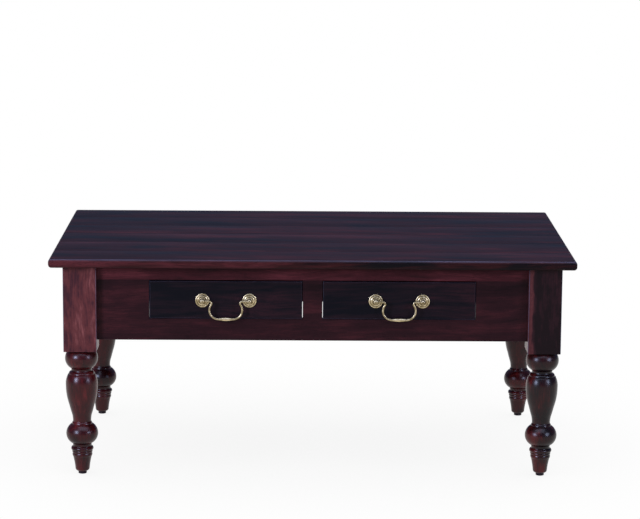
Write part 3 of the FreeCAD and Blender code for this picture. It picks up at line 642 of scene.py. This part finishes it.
@dataclass
class PlankedTop:
    """Six planks side by side, rounded round the top's edge and eased at each seam."""

    timber: Timber
    count: int = 6
    upper_round: float = 5.5 * MM
    lower_round: float = 6.5 * MM
    corner_round: float = 3 * MM
    seam_arris: float = 0.7 * MM
    end_grain_stain: float = 0.6
    edge_stain: float = 0.6
    right_sap: float = -0.5
    sap_lost_below: float = 0.5
    wear: float = 0.9
    arc_points: int = 12
    fade_start: float = 0.02
    tone: Tone = Tone.PURPLE

    @staticmethod
    def fall(distance: Array, radius: float) -> Array:
        """How far a rounded edge falls away at a distance in from its end.

        Args:
            distance: Distances from the end.
            radius: The edge's round.

        Returns:
            The fall, radius - sqrt(radius^2 - (radius - distance)^2) within the round, else zero.
        """
        inside = np.clip(radius - distance, 0, radius)
        return radius - np.sqrt(radius**2 - inside**2)

    def plank(self, number: int, low: Array, high: Array) -> Array:
        """Carry a plank's section along X.

        The section is a rectangle with an arc at each corner, r (cos a, sin a) about a centre r in from both
        faces. Towards both ends its faces close in as the top's rounded edge falls away, and its arcs shrink
        with its thickness. Each end is drawn to a point in the middle of its face.

        Args:
            number: The plank's number from the front, from zero.
            low: Lowest corner of the whole top.
            high: Highest corner of the whole top.

        Returns:
            Stations by section points by three.
        """
        length = high[0] - low[0]
        near_end = self.lower_round * (1 - np.cos(np.linspace(0, math.pi / 2, self.arc_points)))
        along = np.concatenate([near_end, [self.fade_start * length], length - near_end[::-1]])
        from_end = np.minimum(along, length - along)
        depth = (high[1] - low[1]) / self.count
        inset = self.fall(from_end, self.corner_round)
        first, last = number == 0, number == self.count - 1
        front = low[1] + number * depth + (inset if first else 0 * inset)
        back = low[1] + (number + 1) * depth - (inset if last else 0 * inset)
        under = low[2] + self.fall(from_end, self.lower_round)
        over = high[2] - self.fall(from_end, self.upper_round)
        shrink = (over - under) / (high[2] - low[2])
        upper, lower = self.upper_round, self.lower_round
        outer = ((upper, last), (upper, first), (lower, first), (lower, last))
        rounds = [radius if at_edge else self.seam_arris for radius, at_edge in outer]
        faces = ((back, over), (front, over), (front, under), (back, under))
        ways = ((1, 1), (-1, 1), (-1, -1), (1, -1))
        section = []
        for quarter, (radius, corner, way) in enumerate(zip(rounds, faces, ways)):
            angle = math.pi / 2 * (quarter + np.linspace(0, 1, self.arc_points))
            arc = (radius * shrink)[:, None, None] * (circle(angle) - way)
            section.append(np.stack(corner, axis=-1)[:, None] + arc)
        outline = np.concatenate(section, axis=1)
        x = np.broadcast_to((low[0] + along)[:, None, None], (*outline.shape[:2], 1))
        points = np.concatenate([x, outline], axis=2)
        return with_poles(points, points[0].mean(axis=0), points[-1].mean(axis=0))

    def marks(self, number: int) -> dict[str, Array]:
        """How a plank's outer edges are rubbed pale with a painted highlight, took the stain and hold
        painted shade, on the same rows and columns.

        A pale line, lacquer rubbed pale and a painted highlight, is 15 t (1 - t)^5 of the share t of an
        outer upper arc from the top face down, so it peaks just below the top face and ends at both faces.
        The front edge is sap wood, which takes less stain to the left and more to the right. The front
        edge's lower round gets darker towards the underside, which is painted shade, and stain gathers in
        the end grain.

        Args:
            number: The plank's number from the front, from zero.

        Returns:
            The marks by name.
        """
        # Both rounded ends, the station between them and a point at each end
        rows = 2 * self.arc_points + 3
        arc = np.linspace(0, 1, self.arc_points)
        # The pale line along the upper arris: lacquer rubbed pale and a painted highlight
        bell = self.wear * 15 * arc * (1 - arc) ** 5
        plain = 0 * arc
        first, last = number == 0, number == self.count - 1
        worn = np.concatenate([bell[::-1] if last else plain, bell if first else plain, plain, plain])
        sap = np.concatenate([plain, arc, 1 - self.sap_lost_below * arc, plain]) * first
        fade = np.where(np.arange(rows) < rows / 2, 1.0, self.right_sap)[:, None]
        # The front edge's lower round darkens towards the underside, which is painted shade; the end grain
        # rows hold real stain
        stain = np.tile(np.concatenate([plain, plain, self.edge_stain * arc * first, plain]), (rows, 1))
        # Each end grain is the point in its middle and the first row round it
        stain[[0, 1, -2, -1]] = self.end_grain_stain
        return {"worn": worn[None], "sap": sap * fade, "recess": stain}

    def build(self) -> None:
        """Build and dress the planks."""
        low = np.array(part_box("top_plank_1")[0])
        high = np.array(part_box(f"top_plank_{self.count}")[1])
        for number in range(self.count):
            label = f"plank_{number + 1}"
            wood = self.timber.material(f"stained_sheesham_{label}", self.tone, Grain.ALONG_X, number)
            piece = make_piece(label, self.plank(number, low, high), [wood], self.marks(number))
            seat(piece, "table", f"top_{label}")


@dataclass
class TurnedLeg:
    """A leg with a square block above and turned work, burnished on the lathe, below."""

    timber: Timber
    burnished: Timber
    side: Side
    end: End
    tone: Tone
    turned_tone: Tone
    profile: TurnedProfile
    sap_strip: float = 0.0
    arris: float = 1.2 * MM
    flat_points: int = 21
    arris_points: int = 5
    end_grain_stain: float = 0.6
    arris_wear: float = 0.8
    scribe_depth: float = 0.12
    scribe_width: float = 0.45
    scribe_heights: tuple[float, ...] = (87.0, 93.0)
    scribe_stain: float = 0.6
    groove_reach: int = 9
    full_groove: float = 2.4
    least_sap: float = -0.4
    sap_lost_turning: float = 0.5

    def square(self, half: float, corner: float) -> Array:
        """The block's plan: a square with rounded corners, counter-clockwise.

        One quarter is a flat, where y = half tan a, and then the corner's arc; the others are it turned.

        Args:
            half: Half the square's width.
            corner: Radius of its corners.

        Returns:
            Points by two.
        """
        limit = math.atan2(half - corner, half)
        flat_y = half * np.tan(np.linspace(-limit, limit, self.flat_points))
        flat = np.stack([np.full_like(flat_y, half), flat_y], axis=1)
        angle = np.linspace(0, math.pi / 2, self.arris_points + 2)[1:-1]
        arc = half - corner + corner * circle(angle)
        quarter = np.concatenate([flat, arc])
        turns = np.arange(4) * math.pi / 2
        turned = np.array([[np.cos(turns), np.sin(turns)], [-np.sin(turns), np.cos(turns)]])
        return np.einsum("pi,ijk->kpj", quarter, turned).reshape(-1, 2)

    def build(self, number: int) -> None:
        """Build and dress the leg: its turned rows, then the block's rows on the same columns.

        A scribed line is a bell exp(-((h - its height) / its width)^2) cut into the turned outline. A strip
        of sap wood of width w fades as 1.5 - d / w of the distance d from the left face.

        Args:
            number: The leg's number, which picks its place in the tree.
        """
        label = f"{self.end.word}_{self.side.word}_leg"
        low, high = (np.array(corner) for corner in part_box(label))
        axis = np.array([*(low + high)[:2] / 2, low[2]])
        half = (high[0] - low[0]) / 2
        plan = self.square(half, self.arris)
        line = self.profile.line()
        from_scribe = (line[:, 1:] - np.array(self.scribe_heights)) / self.scribe_width
        scribes = np.exp(-from_scribe**2).sum(axis=1)
        line[:, 0] -= self.scribe_depth * scribes
        # Grooves and scribed lines are darker, with stain that gathers there and with painted shade
        grooves = groove_depth(line[:, 0], self.groove_reach, self.full_groove)
        stain = np.clip(grooves + self.scribe_stain * scribes, 0, 1)
        # The ring where the turned work meets the block's underside is darker
        stain[-1] = self.end_grain_stain
        turned = spin(line * MM, np.arctan2(plan[:, 1], plan[:, 0]), axis, np.eye(3))
        top = high[2] - low[2]
        shoulder = line[-1, 1] * MM
        # The block's lower arris is rounded in two steps
        ease = self.arris * np.array([1.0, 0.3, 0.0])
        levels = np.array([*(shoulder + ease[::-1]), top])
        scales = np.array([*(1 - ease / half), 1.0])
        block = np.concatenate([
            scales[:, None, None] * plan + axis[:2],
            np.broadcast_to((axis[2] + levels)[:, None, None], (len(levels), len(plan), 1)),
        ], axis=2)
        points = with_poles(np.concatenate([turned, block]), axis, axis + [0, 0, top])
        on_turned = np.concatenate([np.ones(len(turned) + 1), np.zeros(len(block) + 1)])[:, None]
        on_arris = np.tile(np.repeat([0, 1], [self.flat_points, self.arris_points]), 4)
        from_left = (plan[:, 0] + half) / MM
        strip = 0 * from_left
        if self.sap_strip:
            strip = np.clip(1.5 - from_left / self.sap_strip, self.least_sap, 1)
        # The block's arrises get a pale line: lacquer rubbed pale and a painted highlight
        marks = {
            "recess": np.concatenate([[0], stain, np.zeros(len(block) + 1)])[:, None],
            "worn": self.arris_wear * (1 - on_turned) * on_arris,
            "sap": (1 - self.sap_lost_turning * on_turned) * strip,
        }
        grain = Grain.ALONG_Z
        wood = self.timber.material(f"stained_sheesham_{label}", self.tone, grain, number)
        polished = self.burnished.material(f"burnished_sheesham_{label}", self.turned_tone, grain, number)
        piece = make_piece(f"turned_{label}", points, [wood, polished], marks, on_turned[:-1, 0])
        seat(piece, "table", label)


@dataclass
class BailPull:
    """A drawer's brass pull: two ringed rosettes, two posts and the bail that swings between them."""

    brass: Brass
    side: Side
    rosette: TurnedProfile
    post: TurnedProfile
    spokes: int = 72
    wire: float = 2.2 * MM
    swell: float = 1.4 * MM
    drop: float = 37 * MM
    neck: float = 4.4 * MM
    bow: float = 19 * MM
    grip: float = 29 * MM
    pin_overrun: float = 2 * MM
    wire_spokes: int = 28
    pin_points: int = 12
    path_points: int = 40
    grip_points: int = 14
    groove_reach: int = 5
    full_groove: float = 0.4
    full_dip: float = 0.25
    grime: float = 0.32

    def bail_line(self, spacing: float) -> Array:
        """The middle line of the bail, from its left pin to its right one.

        Half of it is a straight pin, an arc of the neck's radius that turns down and back, an arc of the
        bow's radius that runs out into the grip, and half the grip; the other half is its mirror image.

        Args:
            spacing: Distance between the posts.

        Returns:
            Points of X and Z from the middle of the pivot.
        """
        both = self.neck + self.bow
        rise = self.drop - both
        neck_x = self.grip / 2 + math.sqrt(both**2 - rise**2)
        lean = math.atan2(rise, neck_x - self.grip / 2)
        pin_x = np.linspace(spacing / 2 + self.pin_overrun, neck_x, self.pin_points, endpoint=False)
        pin = np.stack([pin_x, 0 * pin_x], 1)
        turn = np.linspace(math.pi / 2, math.pi + lean, self.path_points // 2, endpoint=False)
        neck = np.array([neck_x, -self.neck]) + self.neck * circle(turn)
        sweep = np.linspace(lean, -math.pi / 2, self.path_points, endpoint=False)
        bow_centre = np.array([self.grip / 2, self.bow - self.drop])
        bow = bow_centre + self.bow * circle(sweep)
        grip_x = np.linspace(self.grip / 2, 0, self.grip_points)
        half_grip = np.stack([grip_x, np.full_like(grip_x, -self.drop)], 1)
        half = np.concatenate([pin, neck, bow, half_grip])
        return np.concatenate([half * [-1, 1], half[-2::-1]])

    def bail_points(self, pivot: Array, spacing: float) -> tuple[Array, Array]:
        """Carry a circle along the bail's line.

        Each ring lies across the line: centre + r (cos a N + sin a Y), where N is the line's normal in its
        own plane. The radius is the wire's, and swells along the grip as 1 - (2 x / grip)^2. Grime is left
        on the wire and fades as the grip, which hands rub, swells.

        Args:
            pivot: The middle of the line through both posts.
            spacing: Distance between the posts.

        Returns:
            Rings by points by three, closed at both ends, and the grime on each ring.
        """
        line = self.bail_line(spacing)
        along = np.gradient(line, axis=0)
        along /= np.linalg.norm(along, axis=1)[:, None]
        in_grip = np.isclose(line[:, 1], -self.drop, atol=TINY)
        swelling = np.where(in_grip, 1 - (2 * line[:, 0] / self.grip) ** 2, 0)
        radius = self.wire + self.swell * swelling
        angle = np.linspace(0, math.tau, self.wire_spokes, endpoint=False)
        normal = np.stack([-along[:, 1], 0 * along[:, 0], along[:, 0]], axis=1)
        centre = pivot + np.stack([line[:, 0], 0 * line[:, 0], line[:, 1]], axis=1)
        outward = np.array([0, 1, 0])
        ring = np.cos(angle)[:, None] * normal[:, None] + np.sin(angle)[:, None] * outward
        points = centre[:, None] + radius[:, None, None] * ring
        grime = np.pad(self.grime * (1 - swelling), 1, mode="edge")
        return with_poles(points, centre[0], centre[-1]), grime[:, None]

    def spun(self, profile: TurnedProfile, base: Array) -> tuple[Array, Array]:
        """Spin a profile out of the drawer and close it at its back and its tip.

        Args:
            profile: The outline, in millimetres.
            base: Where its axis leaves the drawer front.

        Returns:
            The points, and how deep each ring of them lies in a groove.
        """
        line = profile.line()
        grooves = groove_depth(line[:, 0], self.groove_reach, self.full_groove)
        depth = np.maximum(grooves, groove_depth(line[:, 1], self.groove_reach, self.full_dip))
        closed = np.concatenate([[[0, line[0, 1]]], line, [[0, line[-1, 1]]]])
        outward = np.array([[1.0, 0, 0], [0, 0, 1.0], [0, -1.0, 0]])
        angles = np.linspace(0, math.tau, self.spokes, endpoint=False)
        points = spin(closed * MM, angles, base, outward)
        return points, np.pad(depth, 1)[:, None]

    def build(self) -> None:
        """Build and dress the pull."""
        word = self.side.word
        metal = self.brass.material(f"aged_cast_brass_{word}")
        centres = {}
        for edge in Side:
            low, high = (np.array(corner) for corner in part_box(f"{word}_{edge.word}_rosette"))
            base = np.array([(low[0] + high[0]) / 2, high[1], (low[2] + high[2]) / 2])
            centres[edge] = base
            tip = self.rosette.line()[-1, 1] * MM
            castings = {"rosette": (self.rosette, base), "post": (self.post, base - [0, tip, 0])}
            for casting, (profile, start) in castings.items():
                points, depth = self.spun(profile, start)
                label = f"{word}_{edge.word}_cast_{casting}"
                piece = make_piece(label, points, [metal], {"recess": depth})
                seat(piece, f"{word}_drawer", f"{word}_{edge.word}_{casting}")
        low, high = (np.array(corner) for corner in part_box(f"{word}_bail"))
        spacing = centres[Side.RIGHT][0] - centres[Side.LEFT][0]
        middle = (centres[Side.LEFT] + centres[Side.RIGHT]) / 2
        pivot = np.array([middle[0], (low[1] + high[1]) / 2, middle[2]])
        points, grime = self.bail_points(pivot, spacing)
        bail = make_piece(f"{word}_cast_bail", points, [metal], {"recess": grime})
        seat(bail, f"{word}_pull", f"{word}_bail")


@dataclass
class Drawer:
    """A drawer: its stained front, its plain box and the pull's nuts behind the front."""

    stained: Timber
    plain: Timber
    steel: Material
    side: Side
    number: int

    def dress(self) -> None:
        """Dress the drawer's own boards and nuts."""
        word = self.side.word
        name = f"stained_sheesham_{word}_front"
        paint(f"{word}_drawer_front", self.stained.material(name, Tone.BLACK, Grain.ALONG_X, self.number))
        ways = {"left_side": Grain.ALONG_Y, "right_side": Grain.ALONG_Y,
                "back": Grain.ALONG_X, "bottom": Grain.ALONG_X}
        for count, (board, grain) in enumerate(ways.items(), 1):
            node = f"{word}_drawer_{board}"
            paint(node, self.plain.material(f"oiled_mango_{node}", Tone.OILED, grain, self.number + count))
        paint(f"{word}_handle_nuts", self.steel)


@dataclass
class Carcass:
    """The frame under the top: front rails and stiles, aprons, braces, bearers, runners and fixings."""

    stained: Timber
    plain: Timber
    steel: Material
    nylon: Material
    number: int

    def dress(self) -> None:
        """Dress every board of the frame, its screws and the glides under the legs."""
        front = self.stained.material("stained_sheesham_front_board", Tone.DARK, Grain.ALONG_X, self.number)
        for board in ("front_bottom_rail", "front_left_stile", "front_mid_stile", "front_right_stile"):
            paint(board, front)
        # Each board's tone, its grain and its place in the tree
        boards = {
            "back_apron": (Tone.MEDIUM, Grain.ALONG_X, 2),
            "left_apron": (Tone.MEDIUM, Grain.ALONG_Y, 3),
            "right_apron": (Tone.DARK, Grain.ALONG_Y, 4),
            # The front top rail is lighter, partly its own board tone and partly painted light that makes up
            # for the top's shadow on it
            "front_top_rail": (Tone.RED, Grain.ALONG_X, 7),
        }
        for board, (tone, grain, place) in boards.items():
            number = self.number + place
            paint(board, self.stained.material(f"stained_sheesham_{board}", tone, grain, number))
        hidden = self.plain.material("oiled_mango_runners", Tone.OILED, Grain.ALONG_Y, self.number)
        runners = [f"{drawer.word}_drawer_{edge.word}_runner" for drawer in Side for edge in Side]
        corners = [f"{end.word}_{side.word}" for end in End for side in Side]
        braces = [f"{corner}_brace" for corner in corners]
        for board in (*runners, *braces, "left_bearer", "mid_bearer", "right_bearer"):
            paint(board, hidden)
        for fixing in ("top_screws", "runner_screws"):
            paint(fixing, self.steel)
        for corner in corners:
            paint(f"{corner}_glide", self.nylon)


@dataclass(frozen=True)
class Softbox:
    """A rectangular studio light that faces the table, placed by degrees round and up and by metres."""

    name: str
    azimuth: float
    elevation: float
    distance: float
    width: float
    height: float
    watts: float
    colour: str

    def build(self, target: Vector) -> None:
        """Hang the light.

        Args:
            target: The point that it faces.
        """
        lamp = bpy.data.lights.new(self.name, "AREA")
        lamp.shape = "RECTANGLE"
        lamp.size, lamp.size_y = self.width, self.height
        lamp.energy = self.watts
        lamp.color = linear(self.colour)[:3]
        turn, rise = math.radians(self.azimuth), math.radians(self.elevation)
        away = Vector((math.sin(turn) * math.cos(rise), -math.cos(turn) * math.cos(rise), math.sin(rise)))
        holder = put_in_scene(self.name, lamp)
        holder.location = target + away * self.distance
        holder.rotation_euler = (-away).to_track_quat("-Z", "Y").to_euler()


@dataclass
class Studio:
    """The camera as the photograph has it, a pale floor, three softboxes and a dim, cool room."""

    eye: Triple = (-0.03622, -5.19705, 1.34492)
    pitch: float = 10.2484
    yaw: float = 0.5908
    roll: float = -0.4112
    focal_pixels: float = 2455.52
    aim: Triple = (0.0, 0.0, 0.25)
    floor_radius: float = 60.0
    floor_sides: int = 64
    paper: str = "#b8b8b8"
    deepest_shadow: float = 0.86
    shadow_reach: float = 0.6
    zenith: str = "#a9b8ec"
    horizon: str = "#abbcf0"
    zenith_strength: float = 0.3
    horizon_strength: float = 0.33
    horizon_top: float = 0.15
    softboxes: tuple[Softbox, ...] = (
        Softbox("left_softbox", azimuth=-43, elevation=17, distance=3.6,
                width=0.8, height=1.0, watts=120, colour="#ccd9ff"),
        Softbox("right_softbox", azimuth=48, elevation=17, distance=3.5,
                width=0.8, height=1.0, watts=58, colour="#ccd9ff"),
        Softbox("overhead_softbox", azimuth=0, elevation=60, distance=2.8,
                width=3.2, height=2.0, watts=68, colour="#d3dfff"),
    )

    def place_camera(self) -> None:
        """Stand the camera where the photograph was taken from."""
        pitch, yaw, roll = (math.radians(angle) for angle in (self.pitch, self.yaw, self.roll))
        ahead = Vector((math.sin(yaw) * math.cos(pitch), math.cos(yaw) * math.cos(pitch), -math.sin(pitch)))
        level = Vector((math.cos(yaw), -math.sin(yaw), 0))
        down = ahead.cross(level)
        right = math.cos(roll) * level + math.sin(roll) * down
        up = math.sin(roll) * level - math.cos(roll) * down
        camera = put_in_scene("camera", bpy.data.cameras.new("camera"))
        camera.data.sensor_width = SENSOR_WIDTH
        camera.data.lens = self.focal_pixels * SENSOR_WIDTH / IMAGE_WIDTH
        turn = Matrix((right, up, -ahead)).transposed().to_4x4()
        camera.matrix_world = Matrix.Translation(self.eye) @ turn
        bpy.context.scene.camera = camera

    def lay_floor(self) -> None:
        """Lay a pale floor, white with a soft shadow to the camera and in mirrors, and clear from below."""
        ring = np.linspace(0, math.tau, self.floor_sides, endpoint=False)
        points = np.pad(self.floor_radius * circle(ring), ((0, 0), (0, 1)))
        mesh = bpy.data.meshes.new("floor")
        mesh.from_pydata(points.tolist(), [], [list(range(len(points)))])
        floor = put_in_scene("floor", mesh)
        material, add = new_material("white_paper_floor")
        paper = add("BsdfDiffuse", {"Color": linear(self.paper)})
        open_sky = add("AmbientOcclusion", {"Distance": self.shadow_reach}, samples=4)
        shadow = add("MapRange",
                     {"Value": open_sky.outputs["AO"], "To Min": self.deepest_shadow, "To Max": 1.0})
        white = add("Emission", {"Color": linear("#ffffff"), "Strength": shadow})
        path = add("LightPath", {})
        mirror = add("Math",
                     {0: path.outputs["Is Glossy Ray"], 1: path.outputs["Is Transmission Ray"]},
                     operation="MAXIMUM")
        seen = add("Math", {0: path.outputs["Is Camera Ray"], 1: mirror}, operation="MAXIMUM")
        lit = add("MixShader", {0: seen, 1: paper, 2: white})
        facing = add("NewGeometry", {})
        clear = add("BsdfTransparent", {})
        sided = add("MixShader", {0: facing.outputs["Backfacing"], 1: lit, 2: clear})
        add("OutputMaterial", {"Surface": sided})
        mesh.materials.append(material)

    def light(self) -> None:
        """Hang the softboxes and set the room's own light, which is cool and dim all round."""
        for softbox in self.softboxes:
            softbox.build(Vector(self.aim))
        world = bpy.data.worlds.new("room")
        world.use_nodes = True
        world.node_tree.nodes.clear()
        add = partial(add_node, world.node_tree)
        place = add("TexCoord", {})
        split = add("SeparateXYZ", {0: place.outputs["Generated"]})
        rise = add("MapRange",
                   {"Value": split.outputs["Z"], "From Min": self.horizon_top, "From Max": 1.0},
                   interpolation_type="SMOOTHSTEP")
        low = tuple(self.horizon_strength * part for part in linear(self.horizon))
        high = tuple(self.zenith_strength * part for part in linear(self.zenith))
        glow = add("Mix", {MIX_FACTOR: rise, MIX_A: low, MIX_B: high}, data_type="RGBA")
        room = add("Background", {"Color": glow})
        add("OutputWorld", {"Surface": room})
        bpy.context.scene.world = world

    def build(self) -> None:
        """Set up the whole studio."""
        bpy.context.scene.view_settings.view_transform = "Standard"
        self.place_camera()
        self.lay_floor()
        self.light()
        LOG.info("studio ready")


# Turned outlines in millimetres, as the CAD has them: each stage's height, upper radius and bulge
LEG_PROFILE = TurnedProfile(start=10.3, stages=(
    Stage(5.2, 14.7, 1.2),  # toe
    Stage(25.8, 19.1, -0.5),  # foot
    Stage(7.6, 19.7, 1.2),  # shoulder
    Stage(5.0, 20.4, 1.0),  # foot bead
    Stage(9.0, 19.4, 3.2),  # ring
    Stage(6.4, 20.4, -0.6),  # lower cove
    Stage(40.0, 23.2, 11.0),  # lower ball
    Stage(1.0, 20.9),  # lower step
    Stage(5.0, 18.9, 0.5),  # lower collar
    Stage(4.5, 18.8, -0.2),  # neck
    Stage(15.0, 21.8, -0.6),  # flare
    Stage(17.5, 26.5),  # taper
    Stage(40.0, 32.7, 1.6),  # belly
    Stage(22.5, 28.0, 1.6),  # crown
    Stage(0.8, 26.4),  # upper step
    Stage(6.2, 21.8, 1.4),  # upper collar
    Stage(6.0, 21.7, -0.8),  # upper cove
    Stage(39.5, 25.3, 10.2),  # upper ball
), softness=0.4)
ROSETTE_PROFILE = TurnedProfile(start=14.6, stages=(
    Stage(1.0, 14.6),  # rim
    Stage(0.7, 11.4, 0.8),  # outer ring
    Stage(0.3, 10.6),  # step
    Stage(1.0, 7.4, 0.7),  # inner ring
    Stage(0.6, 5.4, -0.3),  # dish
), step=0.2, softness=0.15)
POST_PROFILE = TurnedProfile(start=5.4, stages=(
    Stage(1.6, 4.4, 0.5),  # base
    Stage(1.8, 3.8, -0.4),  # waist
    Stage(9.6, 2.4, 2.6),  # knob
), step=0.25, softness=0.2)


def main() -> None:
    """Build and dress the table, piece by piece."""
    logging.basicConfig(level=logging.INFO, format="%(message)s")
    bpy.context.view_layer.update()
    stained = Timber()
    # Drawer fronts get a pale line along their edges, lacquer rubbed pale and a painted highlight, and their
    # heart wood shows fine streaks
    front_timber = Timber(edge_mm=2.6, contrast=1.4, cloud_mm=(110.0, 9.0), fibre_mm=(90.0, 3.2))
    # The top's long planks show long streaks
    top_timber = Timber(specular=0.08, roughness=0.38, patch_mm=(420.0, 62.0), cloud_mm=(150.0, 24.0),
                        fibre_mm=(110.0, 3.6), contrast=1.1)
    # The legs' thick stock shows short flecks
    leg_timber = Timber(specular=0.1, patch_mm=(150.0, 50.0), cloud_mm=(30.0, 12.0), pore_mm=(7.0, 1.8),
                        pore_strength=0.3, contrast=1.25, sap_shift=0.25)
    # Turned work is burnished on the lathe, which closes its grain and makes it shine
    burnished = Timber(specular=0.25, roughness=0.29, contrast=1.2,
                       patch_mm=(110.0, 40.0), cloud_mm=(45.0, 16.0))
    # Inside is mango, oiled and left without stain, so it is honey brown and dull
    plain = Timber(roughness=0.6)
    # Zinc plate is a pale, faintly mottled metal, and moulded nylon is dark and dull
    steel = Speckled(pale="#b9bcc0", deep="#8d9094", metallic=1.0, roughness=0.38,
                     speckle_mm=1.5).material("zinc_plated_steel")
    nylon = Speckled(pale="#2a1d21", deep="#1a1114", metallic=0.0, roughness=0.5,
                     speckle_mm=1.2, specular=0.1).material("moulded_black_nylon")
    Studio().build()
    PlankedTop(top_timber).build()
    # Each leg's tones, and the width in millimetres of a pale strip down its left face
    legs = {
        (Side.LEFT, End.FRONT): (Tone.LIGHT, Tone.TURNED_RED, 0.0),
        (Side.RIGHT, End.FRONT): (Tone.STRIPED, Tone.TURNED_DARK, 9.0),
        (Side.LEFT, End.BACK): (Tone.RED, Tone.TURNED_RED, 0.0),
        (Side.RIGHT, End.BACK): (Tone.RED, Tone.TURNED_RED, 0.0),
    }
    # Numbers set far enough apart give every board wood of its own
    for number, ((side, end), (tone, turned_tone, strip)) in enumerate(legs.items(), 10):
        TurnedLeg(leg_timber, burnished, side, end, tone, turned_tone, LEG_PROFILE, strip).build(number)
    Carcass(stained, plain, steel, nylon, 20).dress()
    for number, side in zip((30, 40), Side):
        Drawer(front_timber, plain, steel, side, number).dress()
        BailPull(Brass(), side, ROSETTE_PROFILE, POST_PROFILE).build()


if __name__ == "__main__":
    main()
